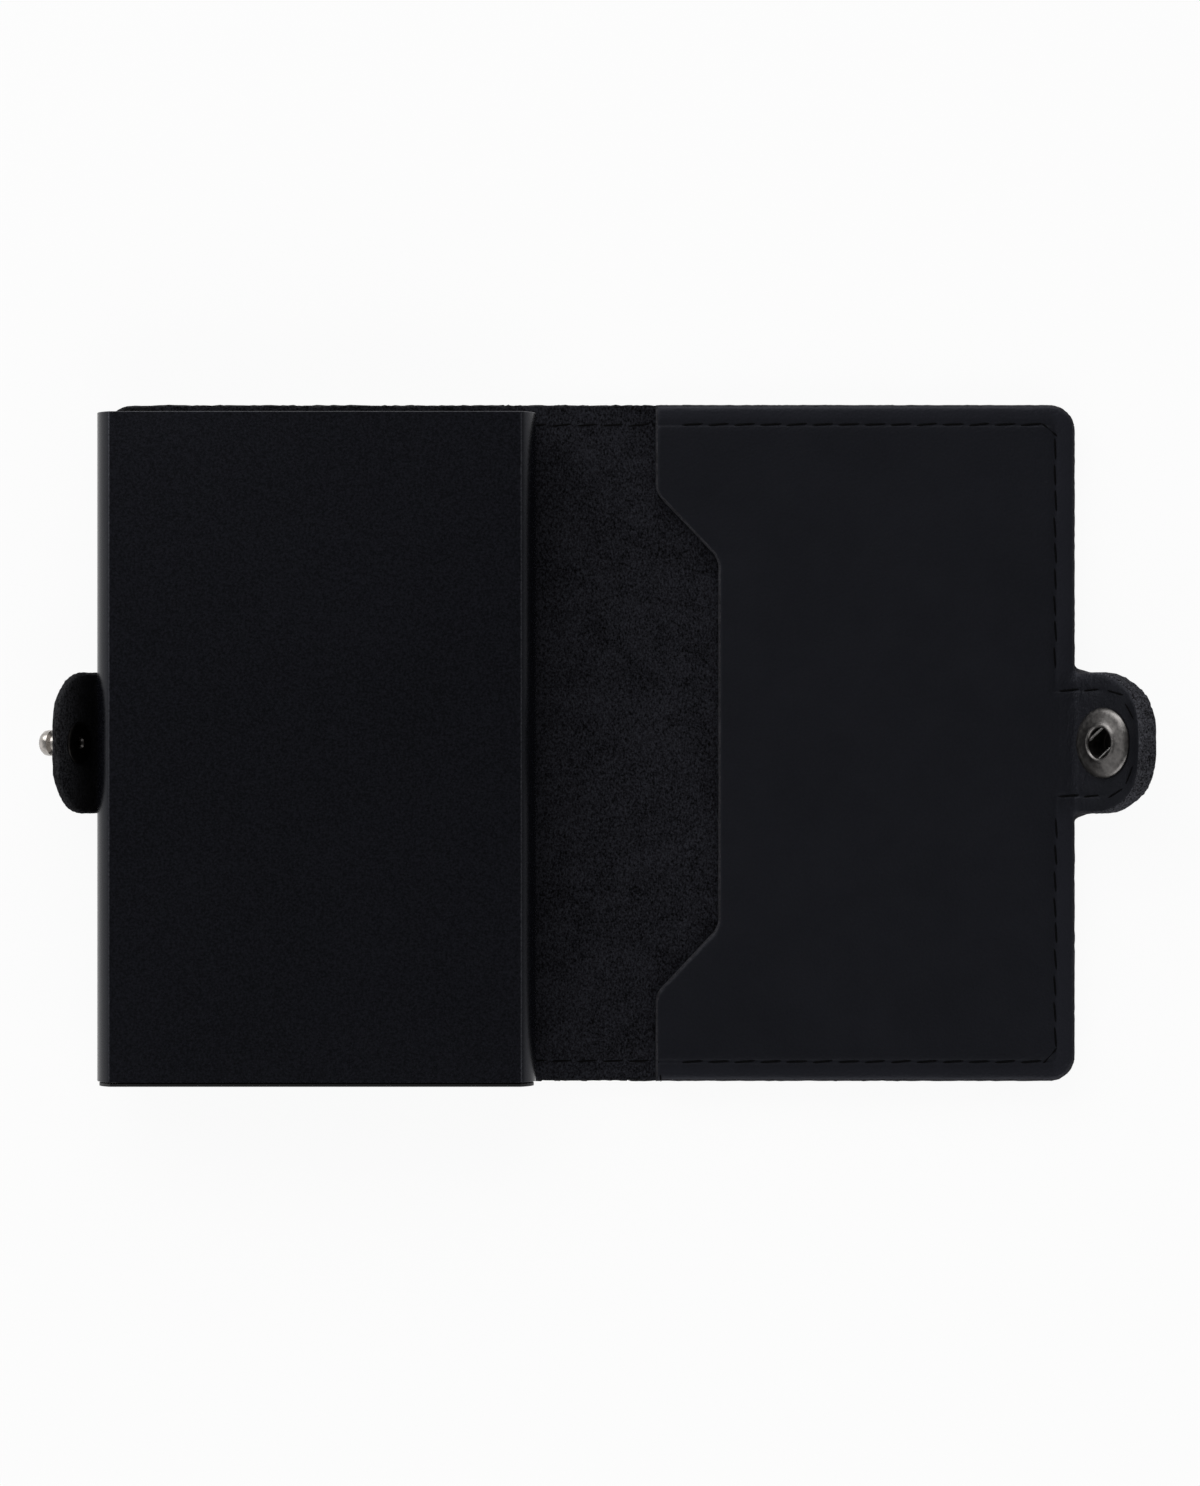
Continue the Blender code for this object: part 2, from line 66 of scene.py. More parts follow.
def leaveEdit():
    if bpy.context.mode != "OBJECT":
        bpy.ops.object.mode_set(mode="OBJECT")


def begin(kind, **settings):
    leaveEdit()
    bpy.ops.object.select_all(action="DESELECT")
    getattr(bpy.ops.mesh, "primitive_" + kind + "_add")(**settings)
    return bpy.context.object


def choose(obj):
    leaveEdit()
    bpy.ops.object.select_all(action="DESELECT")
    obj.select_set(True)
    bpy.context.view_layer.objects.active = obj


def edit(obj, kind="VERT"):
    choose(obj)
    bpy.context.tool_settings.mesh_select_mode = [kind == name for name in ("VERT", "EDGE", "FACE")]
    bpy.ops.object.mode_set(mode="EDIT")


def pick(obj, kind, test):
    leaveEdit()
    mesh = obj.data
    groups = {"VERT": mesh.vertices, "EDGE": mesh.edges, "FACE": mesh.polygons}
    for items in groups.values():
        items.foreach_set("select", [False] * len(items))
    groups[kind].foreach_set("select", [bool(test(item)) for item in groups[kind]])
    edit(obj, kind)


def applyModifier(obj, kind, **settings):
    choose(obj)
    modifier = obj.modifiers.new(kind.lower(), kind)
    for key, value in settings.items():
        setattr(modifier, key, value)
    bpy.ops.object.modifier_apply(modifier=modifier.name)


def cutAway(obj, tool):
    applyModifier(obj, "BOOLEAN", operation="DIFFERENCE", solver="EXACT", object=tool)
    bpy.data.objects.remove(tool, do_unlink=True)


def settle(obj, angle=35):
    # place into the mesh, faces outward, smooth but for real edges
    edit(obj)
    bpy.ops.mesh.select_all(action="SELECT")
    bpy.ops.mesh.remove_doubles(threshold=touching)
    bpy.ops.mesh.normals_make_consistent(inside=False)
    leaveEdit()
    bpy.ops.object.transform_apply(location=True, rotation=True, scale=True)
    bpy.ops.object.shade_smooth_by_angle(angle=math.radians(angle))


def drawPoint(name, place):
    # a plane merged to its middle leaves one point to draw from
    obj = begin("plane", size=mm)
    obj.name = obj.data.name = name
    edit(obj)
    bpy.ops.mesh.select_all(action="SELECT")
    bpy.ops.mesh.merge(type="CENTER")
    bpy.ops.transform.translate(value=place)
    return obj


# cut sheets: outline, rows of cuts, thickness and rim

sheetSettings = {
    "cornerSteps": 8, "markStep": 0.06 * mm, "strips": (0.06, 0.14, 0.3, 0.5), "rimShare": 0.55,
    "upright": 0.95, "seamKept": 0.6 * mm,
}
rimIndex = 2


def drawSheet(name, corners, level):
    # corners are (x, y, radius), drawn point by point and filled, face up
    obj = drawPoint(name, (*corners[0][:2], level))
    for before, after in zip(corners, corners[1:]):
        step = (after[0] - before[0], after[1] - before[1], 0)
        bpy.ops.mesh.extrude_vertices_move(TRANSFORM_OT_translate={"value": step})
    count = len(corners)
    pick(obj, "VERT", lambda point: point.index in (0, count - 1))
    bpy.ops.mesh.edge_face_add()
    bpy.ops.mesh.select_all(action="SELECT")
    bpy.ops.mesh.edge_face_add()
    leaveEdit()
    if obj.data.polygons[0].normal.z < 0:
        edit(obj, "FACE")
        bpy.ops.mesh.select_all(action="SELECT")
        bpy.ops.mesh.flip_normals()
    cornerSteps = sheetSettings["cornerSteps"]
    for index, (x, y, radius) in enumerate(corners):
        if radius:
            here = Vector((x, y))
            back = Vector(corners[index - 1][:2]) - here
            ahead = Vector(corners[(index + 1) % count][:2]) - here
            reach = radius / math.tan(back.angle(ahead) / 2)
            pick(obj, "VERT", lambda point: (point.co.xy - here).length < touching)
            bpy.ops.mesh.bevel(offset=reach, segments=cornerSteps, profile=0.5, affect="VERTICES")
    leaveEdit()
    return obj


def evenCuts(low, high, step):
    count = int((high - low) / step)
    return [low + (high - low) * index / count for index in range(1, count)]


def cutLines(obj, axis, places):
    edit(obj)
    for place in places:
        bpy.ops.mesh.select_all(action="SELECT")
        bpy.ops.mesh.bisect(plane_co=Vector(axis) * place, plane_no=axis)
    leaveEdit()


def cutAcross(obj, places):
    cutLines(obj, (1, 0, 0), places)


def cutAlong(obj, places):
    cutLines(obj, (0, 1, 0), places)


def thicken(obj, thickness, inner, outer, rim):
    for finish in (inner, outer, rim):
        obj.data.materials.append(finish)
    applyModifier(obj, "SOLIDIFY", thickness=thickness, offset=-1, material_offset=1,
                  material_offset_rim=rimIndex)


def gaugeRim(obj, seams=()):
    # measures how far in from the sheet's cut edge a point lies; seams are where the sheet runs on
    mesh = obj.data
    corners = [mesh.vertices[index].co.xy for index in mesh.polygons[0].vertices]
    marks = []
    for start, stop in zip(corners, corners[1:] + corners[:1]):
        if any(abs(start.x - seam) + abs(stop.x - seam) < touching for seam in seams):
            continue
        steps = max(1, int((stop - start).length / sheetSettings["markStep"]))
        marks += [start.lerp(stop, step / steps) for step in range(steps + 1)]
    tree = KDTree(len(marks))
    for index, mark in enumerate(marks):
        tree.insert((*mark, 0), index)
    tree.balance()
    return lambda point: tree.find((point.x, point.y, 0))[2]


def insetRim(obj, radius):
    # strips along the edge, close enough together to be rounded
    edit(obj, "FACE")
    bpy.ops.mesh.select_all(action="SELECT")
    for width in sheetSettings["strips"]:
        bpy.ops.mesh.inset(thickness=width * radius)
    leaveEdit()


def roundRim(obj, gauge, radius, upper=True, lower=True, upperTo=None):
    # the upper edge may be rounded only as far along as upperTo
    mesh = obj.data
    middle = sum(point.co.z for point in mesh.vertices) / len(mesh.vertices)
    rimWidth = sheetSettings["rimShare"] * radius
    for face in mesh.polygons:
        if gauge(face.center) < rimWidth and (upperTo is None or face.center.x < upperTo):
            face.material_index = rimIndex
    for point in mesh.vertices:
        reach = gauge(point.co)
        if reach < radius:
            drop = radius - math.sqrt(radius ** 2 - (radius - reach) ** 2)
            if point.co.z < middle:
                point.co.z += drop * lower
            elif upperTo is None or point.co.x < upperTo:
                point.co.z -= drop * upper


def fray(obj, amount, seams, seed):
    # a hand-cut rim is never quite straight
    rim = set()
    for face in obj.data.polygons:
        if abs(face.normal.z) < sheetSettings["upright"]:
            rim.update(face.vertices)
    kept = sheetSettings["seamKept"]
    pick(obj, "VERT", lambda point: point.index in rim
         and not any(abs(point.co.x - seam) < kept for seam in seams))
    bpy.ops.transform.vertex_random(offset=amount, uniform=0.5, normal=0, seed=seed)
    leaveEdit()


# shader arithmetic and one way to add any other node

class Wire:
    def __init__(self, nodes, socket):
        self.nodes = nodes
        self.socket = socket

    def work(self, operation, other=0, swapped=False):
        first, second = (other, self) if swapped else (self, other)
        return self.nodes.add("ShaderNodeMath", {"operation": operation}, {0: first, 1: second})

    def __add__(self, other):
        return self.work("ADD", other)

    def __radd__(self, other):
        return self.work("ADD", other, True)

    def __sub__(self, other):
        return self.work("SUBTRACT", other)

    def __rsub__(self, other):
        return self.work("SUBTRACT", other, True)

    def __mul__(self, other):
        return self.work("MULTIPLY", other)

    def __rmul__(self, other):
        return self.work("MULTIPLY", other, True)

    def __abs__(self):
        return self.work("ABSOLUTE")


def setStops(marks, stops):
    # stops are (place, grey level)
    while len(marks) < len(stops):
        marks.new(0.5)
    for mark, (place, level) in zip(marks, stops):
        mark.position = place
        mark.color = (level, level, level, 1)


class Nodes:
    def __init__(self, tree):
        self.tree = tree

    def add(self, kind, settings, sockets, out=0):
        node = self.tree.nodes.new(kind)
        for key, value in settings.items():
            if key == "stops":
                setStops(node.color_ramp.elements, value)
            else:
                setattr(node, key, value)
        self.feed(node, sockets)
        return Wire(self, node.outputs[out])

    def feed(self, node, sockets):
        for key, value in sockets.items():
            if isinstance(value, Wire):
                self.tree.links.new(value.socket, node.inputs[key])
            else:
                node.inputs[key].default_value = value


class Finish(Nodes):
    def __init__(self, name, **constants):
        self.material = bpy.data.materials.new(name)
        self.material.use_nodes = True
        super().__init__(self.material.node_tree)
        self.shader = self.tree.nodes["Principled BSDF"]
        for key, value in constants.items():
            self.shader.inputs[key.replace("_", " ")].default_value = value
        self.place = self.add("ShaderNodeTexCoord", {}, {}, "Object")

    def along(self, axis):
        return self.add("ShaderNodeSeparateXYZ", {}, {"Vector": self.place}, axis)

    def stretched(self, stretch, turn=0):
        sockets = {"Vector": self.place, "Scale": (1, stretch, 1), "Rotation": (0, 0, turn)}
        return self.add("ShaderNodeMapping", {}, sockets)

    def noise(self, scale, detail, roughness=0.5, place=None):
        sockets = {"Vector": place or self.place, "Scale": scale, "Detail": detail, "Roughness": roughness}
        return self.add("ShaderNodeTexNoise", {}, sockets)

    def blend(self, amount, first, second):
        # a Mix node's colours are its sockets 6 and 7, and its output 2
        sockets = {0: amount, 6: (*first, 1), 7: (*second, 1)}
        return self.add("ShaderNodeMix", {"data_type": "RGBA"}, sockets, 2)

    def spread(self, value, low, high):
        sockets = {"Value": value, "From Min": low, "From Max": high}
        return self.add("ShaderNodeMapRange", {"clamp": True}, sockets)

    def bump(self, height, depth, strength):
        return self.add("ShaderNodeBump", {}, {"Height": height, "Distance": depth, "Strength": strength})

    def use(self, **wires):
        self.feed(self.shader, {key.replace("_", " "): wire for key, wire in wires.items()})
        return self.material


# finishes

coolTint = (0.83, 0.86, 1, 1)
# wrinkles and raised grain on the pocket leather, with the reach of its painted highlight and painted shade
wearAndLightSettings = {
    "bendAt": 108 * mm, "bendReach": (2.8 * mm, 0.8 * mm), "bendDepth": 9, "tabSide": (8.5 * mm, 11.5 * mm),
    "grainRise": (88 * mm, 105 * mm), "grainDepth": 3, "sideHighlight": (44.9 * mm, 46.4 * mm),
    "endHighlight": (104.2 * mm, 105.8 * mm), "endShare": 2.3, "highlightShare": 0.4, "liningShade": (108.4 * mm, 111 * mm),
}


def makeSuede(name, dark, light, paintedLight=None):
    # flesh side: short crossed fibre, patchy where it has been brushed
    finish = Finish(name, Roughness=0.95, Specular_IOR_Level=0.06)
    fibre = finish.noise(3900, 4, 0.75)
    streak = finish.noise(3700, 3, 0.7, finish.stretched(0.55, 0.5))
    patch = finish.noise(260, 3)
    tone = finish.spread(fibre * 0.5 + streak * 0.4 + patch * 0.1, 0.425, 0.590)
    # painted shade: when a range along X is given, the fibre runs from darker at its first end to lighter at
    # its second
    if paintedLight:
        tone = tone * (0.55 + 0.75 * finish.spread(finish.along("X"), *paintedLight))
    colour = finish.blend(tone, dark, light)
    return finish.use(Base_Color=colour, Normal=finish.bump(fibre * 0.6 + streak * 0.4, 0.3 * mm, 0.9))


def wearAndPaintedLight(finish, tone, height):
    # the bend wrinkles across at the tab's root, and the grain rises along the sewn end
    wearAndLight = wearAndLightSettings
    endX = finish.along("X")
    width = abs(finish.along("Y"))
    inside, outside = wearAndLight["tabSide"]
    bend = finish.spread(abs(endX - wearAndLight["bendAt"]), *wearAndLight["bendReach"])
    bend = bend * finish.spread(width, outside, inside)
    fold = finish.noise(1500, 3, 0.6, finish.stretched(0.35))
    wrinkle = finish.noise(1100, 4, 0.7)
    height = height + fold * bend * wearAndLight["bendDepth"]
    height = height + wrinkle * finish.spread(endX, *wearAndLight["grainRise"]) * wearAndLight["grainDepth"]
    # painted highlight: paler on the outer margins along the sewn edges and at the flap's end beside the tab,
    # where the pressed edge catches the light
    endHighlight = finish.spread(endX, *wearAndLight["endHighlight"]) * finish.spread(width, inside, outside) * wearAndLight["endShare"]
    paintedHighlight = finish.spread(width, *wearAndLight["sideHighlight"]) + endHighlight
    tone = tone * (1 - wearAndLight["highlightShare"]) + paintedHighlight * wearAndLight["highlightShare"]
    # painted shade: the tab's lining darkens from just before the ring and stays dark out to its tip, where
    # it is bent steeply away from the light
    return tone * (1 - finish.spread(endX, *wearAndLight["liningShade"])), height


def makeNapa(name, grain, dark, light, paintedLight=False):
    # grain side: small cells with soft creases, slightly uneven dye and polish
    finish = Finish(name, Specular_IOR_Level=0.25, Specular_Tint=coolTint)
    cell = finish.add("ShaderNodeTexVoronoi", {"feature": "F1"}, {"Vector": finish.place, "Scale": grain})
    crease = finish.spread(cell, 0.1, 0.75)
    dye = finish.noise(70, 2)
    pore = finish.noise(3400, 3, 0.6)
    tone = finish.spread(dye * 0.35 + pore * 0.65, 0.3, 0.7)
    polish = 0.48 + 0.10 * finish.noise(240, 2)
    height = 1 - crease * 0.75 + pore * 0.4
    # for the pocket, wrinkles and raised grain are added, together with painted highlight on the margins and
    # painted shade on the tab's lining
    if paintedLight:
        tone, height = wearAndPaintedLight(finish, tone, height)
    colour = finish.blend(tone, dark, light)
    return finish.use(Base_Color=colour, Roughness=polish, Normal=finish.bump(height, 0.035 * mm, 0.7))


def makeCutEdge():
    # raw cut: grey fibre ends
    finish = Finish("cutEdge", Roughness=0.9, Specular_IOR_Level=0.12)
    fibre = finish.noise(4200, 3, 0.7)
    layer = finish.noise(900, 2)
    tone = finish.spread(fibre * 0.65 + layer * 0.35, 0.36, 0.66)
    colour = finish.blend(tone, (0.008, 0.008, 0.010), (0.046, 0.046, 0.053))
    return finish.use(Base_Color=colour, Normal=finish.bump(fibre, 0.2 * mm, 0.8))


def makeAnodised(name, dark, light, roughness, shine=0.36):
    # bead-blasted and dyed: a fine sparkle over an even black
    finish = Finish(name, Specular_IOR_Level=shine, Specular_Tint=coolTint)
    grit = finish.noise(3000, 3, 0.7)
    cloud = finish.noise(45, 2)
    tone = finish.spread(grit * 0.9 + cloud * 0.1, 0.38, 0.64)
    colour = finish.blend(tone, dark, light)
    rough = roughness + 0.12 * grit
    return finish.use(Base_Color=colour, Roughness=rough, Normal=finish.bump(grit, 0.02 * mm, 0.4))


def makeNickel(name, tone, roughness):
    # plated snap, rubbed brighter in places
    finish = Finish(name, Metallic=1)
    rub = finish.noise(1500, 3)
    speck = finish.noise(6000, 2)
    colour = finish.blend(finish.spread(rub, 0.35, 0.65), [part * 0.62 for part in tone], tone)
    rough = roughness + 0.2 * rub
    return finish.use(Base_Color=colour, Roughness=rough, Normal=finish.bump(rub + speck, 0.012 * mm, 0.5))


def makePlastic():
    # moulded black, faintly matt
    finish = Finish("plastic", Specular_IOR_Level=0.4)
    skin = finish.noise(4200, 2)
    colour = finish.blend(skin, (0.004, 0.004, 0.0045), (0.011, 0.011, 0.012))
    rough = 0.42 + 0.2 * skin
    return finish.use(Base_Color=colour, Roughness=rough, Normal=finish.bump(skin, 0.02 * mm, 0.4))


def makeFelt():
    finish = Finish("felt", Roughness=1, Specular_IOR_Level=0.05)
    fibre = finish.noise(3000, 4, 0.7)
    colour = finish.blend(finish.spread(fibre, 0.3, 0.7), (0.012, 0.012, 0.013), (0.07, 0.07, 0.073))
    return finish.use(Base_Color=colour, Normal=finish.bump(fibre, 0.3 * mm, 0.8))


def makeTape():
    finish = Finish("tape", Specular_IOR_Level=0.3)
    gum = finish.noise(900, 3)
    colour = finish.blend(gum, (0.02, 0.02, 0.021), (0.06, 0.06, 0.062))
    return finish.use(Base_Color=colour, Roughness=0.5 + 0.3 * gum)


def makeThread():
    # waxed black thread: strands wound on the slant
    finish = Finish("thread", Specular_IOR_Level=0.05)
    sockets = {"Vector": finish.stretched(1, 0.75), "Scale": 1900, "Distortion": 0.6}
    strand = finish.add("ShaderNodeTexWave", {"wave_type": "BANDS"}, sockets, 1)
    colour = finish.blend(strand, (0.0005, 0.0005, 0.0006), (0.0018, 0.0018, 0.0022))
    rough = 0.6 + 0.2 * strand
    return finish.use(Base_Color=colour, Roughness=rough, Normal=finish.bump(strand, 0.05 * mm, 0.8))


suede = makeSuede("suede", (0.0007, 0.0007, 0.0010), (0.0252, 0.0258, 0.0325))
# the stud tab's inner face: painted shade, darker where it stands next to the case and lighter towards its
# tip
shadedTabSuede = makeSuede("shadedTabSuede", (0.0012, 0.0012, 0.0015), (0.0290, 0.0295, 0.0335), (-33.2 * mm, -36.4 * mm))
fuzzyEdge = makeSuede("fuzzyEdge", (0.0030, 0.0030, 0.0035), (0.0390, 0.0395, 0.0430))
# paler edge finish for the tab's tip: raw fibre is pale, and part of the paleness is painted highlight where
# the curled end faces up to the light
tipEdge = makeSuede("tipEdge", (0.0060, 0.0060, 0.0070), (0.0740, 0.0750, 0.0870))
pocketLeather = makeNapa("pocketLeather", 2500, (0.0018, 0.0020, 0.0032), (0.0076, 0.0079, 0.0112), True)
outerLeather = makeNapa("outerLeather", 1500, (0.0030, 0.0030, 0.0040), (0.0075, 0.0075, 0.0090))
cutEdge = makeCutEdge()
anodised = makeAnodised("anodised", (0.0005, 0.0006, 0.0010), (0.0064, 0.0066, 0.0094), 0.165)
# painted shade: a darker, duller copy of the anodised finish for the rounded sides
shadedSideAnodised = makeAnodised("shadedSideAnodised", (0.0004, 0.0005, 0.0008), (0.0040, 0.0042, 0.0060), 0.2, 0.26)
# painted highlight: a paler copy of the anodised finish for the bevelled edges, where they catch the light
highlitEdge = makeAnodised("highlitEdge", (0.008, 0.008, 0.010), (0.031, 0.031, 0.036), 0.3)
nickel = makeNickel("nickel", (0.185, 0.177, 0.172), 0.24)
# painted shade: a darker copy of the nickel for the post deep inside the socket and the eyelet in the nook
# beside the case
shadedNickel = makeNickel("shadedNickel", (0.060, 0.056, 0.054), 0.22)
brightNickel = makeNickel("brightNickel", (0.50, 0.47, 0.44), 0.16)
springSteel = makeNickel("springSteel", (0.42, 0.41, 0.40), 0.22)
plastic = makePlastic()
felt = makeFelt()
tape = makeTape()
thread = makeThread()
print("finishes mixed")

# pieces that show their CAD mesh
cadFinishes = {
    "bottom_cap": plastic, "ejector_lever": plastic, "lever_pin": springSteel, "front_felt": felt,
    "rear_felt": felt, "case_tape": tape, "socket_spring": springSteel,
}
for node, finish in cadFinishes.items():
    slots = frame["nodes"][node].data.materials
    slots.clear()
    slots.append(finish)


# card case: sleeve drawn from its end outline

sleeveSettings = {
    "sideCentre": 26 * mm, "sideSteps": 18, "roomSide": 3.2 * mm, "wall": 1.0 * mm, "edge": 0.11 * mm,
    "edgeSteps": 2, "edgeAngle": math.radians(25), "sideFacing": 0.3, "smooth": 24,
}


def makeSleeve(settings):
    low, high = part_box("card_case")
    middle = (low.z + high.z) / 2
    rise = high.z - middle
    centre = settings["sideCentre"]
    radius = high.x - centre
    flat = centre + math.sqrt(radius ** 2 - rise ** 2)
    sweep = 2 * math.asin(rise / radius)
    obj = drawPoint("caseSleeve", (flat, low.y, high.z))
    for side in (1, -1):
        about = (side * centre, low.y, middle)
        bpy.ops.mesh.spin(steps=settings["sideSteps"], angle=sweep, axis=(0, -1, 0), center=about)
        if side == 1:
            bpy.ops.mesh.extrude_vertices_move(TRANSFORM_OT_translate={"value": (-2 * flat, 0, 0)})
    bpy.ops.mesh.select_all(action="SELECT")
    bpy.ops.mesh.remove_doubles(threshold=touching)
    bpy.ops.mesh.edge_face_add()
    bpy.ops.mesh.extrude_region_move(TRANSFORM_OT_translate={"value": (0, high.y - low.y, 0)})
    bpy.ops.mesh.select_all(action="SELECT")
    bpy.ops.mesh.normals_make_consistent(inside=False)
    leaveEdit()
    plainIndex, edgeIndex, shadedSideIndex = range(3)
    for finish in (anodised, highlitEdge, shadedSideAnodised):
        obj.data.materials.append(finish)
    room = begin("cube", size=1, location=(0, (low.y + high.y) / 2, middle))
    room.scale = (2 * (high.x - settings["roomSide"]), 2 * (high.y - low.y), 2 * (rise - settings["wall"]))
    bpy.ops.object.transform_apply(location=True, scale=True)
    cutAway(obj, room)
    applyModifier(obj, "BEVEL", width=settings["edge"], segments=settings["edgeSteps"], limit_method="ANGLE",
                  angle_limit=settings["edgeAngle"], material=edgeIndex)
    # the lower rim lies against the plug and gets no painted edge highlight
    for face in obj.data.polygons:
        if face.center.y < low.y + settings["wall"]:
            face.material_index = plainIndex
        # faces turned sideways take the darker copy: painted shade on the rounded sides
        elif face.material_index == plainIndex and abs(face.normal.x) > settings["sideFacing"]:
            face.material_index = shadedSideIndex
    settle(obj, settings["smooth"])
    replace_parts(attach(obj, "holder"), "card_case")


makeSleeve(sleeveSettings)
print("case sleeve drawn")


# leather wrap: one hide, built in lengths that each cross a single fold

wrapSettings = {
    "corner": 3.6 * mm, "trim": 0.2 * mm, "rim": 0.35 * mm, "foldReach": 3.0 * mm, "foldCuts": 9,
    "seamIn": 8 * mm, "tabSeam": 84 * mm, "rimStep": 0.8 * mm, "fray": 0.15 * mm, "backInset": 0.8 * mm,
    "rows": 8, "edgeRows": (0.6 * mm, 1.1 * mm),
}
backLow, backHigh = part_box("back_panel")
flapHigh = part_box("flap_panel")[1]
pocketLow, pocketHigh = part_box("pocket_panel")
leatherTop = backHigh.z
halfHeight = backHigh.y - wrapSettings["trim"]
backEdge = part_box("card_case")[0].x + wrapSettings["backInset"]
backSeam = backLow.x + wrapSettings["seamIn"]
nearSeam = (hinge["spine_fold"].x + hinge["spine_middle_fold"].x) / 2
farSeam = (hinge["spine_middle_fold"].x + hinge["flap_fold"].x) / 2
tabSeam = wrapSettings["tabSeam"]


def foldLines(x):
    reach, count = wrapSettings["foldReach"], wrapSettings["foldCuts"]
    return [x + reach * (2 * index / (count - 1) - 1) for index in range(count)]


def blendAtFold(obj):
    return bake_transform(obj)


def makeWrapLength(name, joint, left, right, seed, replaced):
    corners = [(left, -halfHeight, 0), (right, -halfHeight, 0), (right, halfHeight, 0), (left, halfHeight, 0)]
    obj = drawSheet(name, corners, leatherTop)
    gauge = gaugeRim(obj, (left, right))
    insetRim(obj, wrapSettings["rim"])
    rows = wrapSettings["rows"]
    cutAcross(obj, foldLines(hinge[joint].x) + evenCuts(left, right, wrapSettings["rimStep"]))
    cutAlong(obj, [halfHeight * row / rows for row in range(1 - rows, rows)])
    cutAlong(obj, [side * (halfHeight - reach) for reach in wrapSettings["edgeRows"] for side in (1, -1)])
    thicken(obj, leatherTop, suede, outerLeather, fuzzyEdge)
    roundRim(obj, gauge, wrapSettings["rim"], upperTo=pocketLow.x)
    fray(obj, wrapSettings["fray"], (left, right), seed)
    settle(obj)
    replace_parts(blendAtFold(obj), *replaced)


makeWrapLength("wrapBack", "spine_fold", backSeam, nearSeam, 8, ("back_panel",))
makeWrapLength("wrapSpine", "spine_middle_fold", nearSeam, farSeam, 9,
               ("spine_near_strip", "spine_far_strip"))
makeWrapLength("wrapFlap", "flap_fold", farSeam, tabSeam, 8, ("flap_panel",))


# tabs: the two ends of the hide, bent up

tabSettings = {
    "half": 10 * mm, "root": 1.0 * mm, "ease": 1.3 * mm, "bendRadius": 1.5 * mm, "bendSteps": 8,
    "bendPast": 0.3 * mm, "curlSteps": 5, "rim": 0.6 * mm, "fray": 0.07 * mm, "punchDepth": 8 * mm,
    "punchSides": 48,
}
studTab = {
    "joint": "stud_tab_bend", "bodies": ("holder", "stud_side"), "way": -1, "length": 9.0 * mm,
    "corner": 6.8 * mm, "curlFrom": 6.2 * mm, "curlBy": math.radians(-20), "snapAt": 4.3 * mm,
    "hole": 0.98 * mm, "roundTop": True, "seed": 3,
}
closingTab = {
    "joint": "closing_tab_bend", "bodies": ("flap", "closer"), "way": 1, "length": 12.8 * mm,
    "corner": 9.3 * mm, "curlFrom": 9.0 * mm, "curlBy": math.radians(28), "snapAt": 5.3 * mm,
    "hole": 2.86 * mm, "roundTop": False, "seed": 4,
}


def tipOf(tab):
    return hinge[tab["joint"]].x + tab["way"] * tab["length"]


def tabEnd(edge, tab):
    # one end of the hide with its tab, listed from the lower corner to the upper one
    tip, half, root = tipOf(tab), tabSettings["half"], tabSettings["root"]
    return [
        (edge, -halfHeight, wrapSettings["corner"]), (edge, -half, root), (tip, -half, tab["corner"]),
        (tip, half, tab["corner"]), (edge, half, root), (edge, halfHeight, wrapSettings["corner"]),
    ]


def bendTurns(tab):
    # a round bend at the root, and a further curl towards the tip, as (x, angle)
    x, tilt, way = hinge[tab["joint"]].x, restTilt[tab["joint"]], tab["way"]
    radius, steps = tabSettings["bendRadius"], tabSettings["bendSteps"]
    start = x - way * radius * math.tan(tilt / 2)
    turns = [(start + way * radius * tilt * index / steps, tilt / steps) for index in range(steps)]
    steps = tabSettings["curlSteps"]
    for index in range(steps):
        reach = tab["curlFrom"] + (tab["length"] - tab["curlFrom"]) * index / steps
        turns.append((x + way * reach, tab["curlBy"] / steps))
    return turns


def bendLines(tab):
    return [line for line, angle in bendTurns(tab)]


def curl(obj, tab, level):
    # from root to tip, what lies beyond each line swings up about it,
    # and beside the tab the swing eases out along the sheet's edge
    way, half, ease = tab["way"], tabSettings["half"], tabSettings["ease"]
    turns = bendTurns(tab)
    flat = [point.co.copy() for point in obj.data.vertices]
    pivot = Vector((turns[0][0], 0, level))
    heading = 0
    for index, (line, angle) in enumerate(turns):
        if index:
            step = abs(line - turns[index - 1][0])
            pivot = pivot + step * Vector((way * math.cos(heading), 0, math.sin(heading)))
        for point, start in zip(obj.data.vertices, flat):
            if way * (start.x - line) > touching:
                share = min(1, max(0, (half + ease - abs(start.y)) / ease))
                share = share * share * (3 - 2 * share)
                point.co = pivot + Matrix.Rotation(-way * angle * share, 3, "Y") @ (point.co - pivot)
        heading += angle


def upTab(tab):
    tilt = restTilt[tab["joint"]]
    return Vector((tab["way"] * math.cos(tilt), 0, math.sin(tilt)))


def blendAtBend(obj):
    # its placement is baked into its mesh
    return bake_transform(obj)


def seat(obj, tab):
    # stand a piece square on its tab, at the rest bend
    obj.rotation_euler = (0, -tab["way"] * restTilt[tab["joint"]], 0)
    obj.location = hinge[tab["joint"]] + tab["snapAt"] * upTab(tab)


def punchHole(obj, tab):
    sides, depth = tabSettings["punchSides"], tabSettings["punchDepth"]
    punch = begin("cylinder", vertices=sides, radius=tab["hole"], depth=depth)
    seat(punch, tab)
    cutAway(obj, punch)


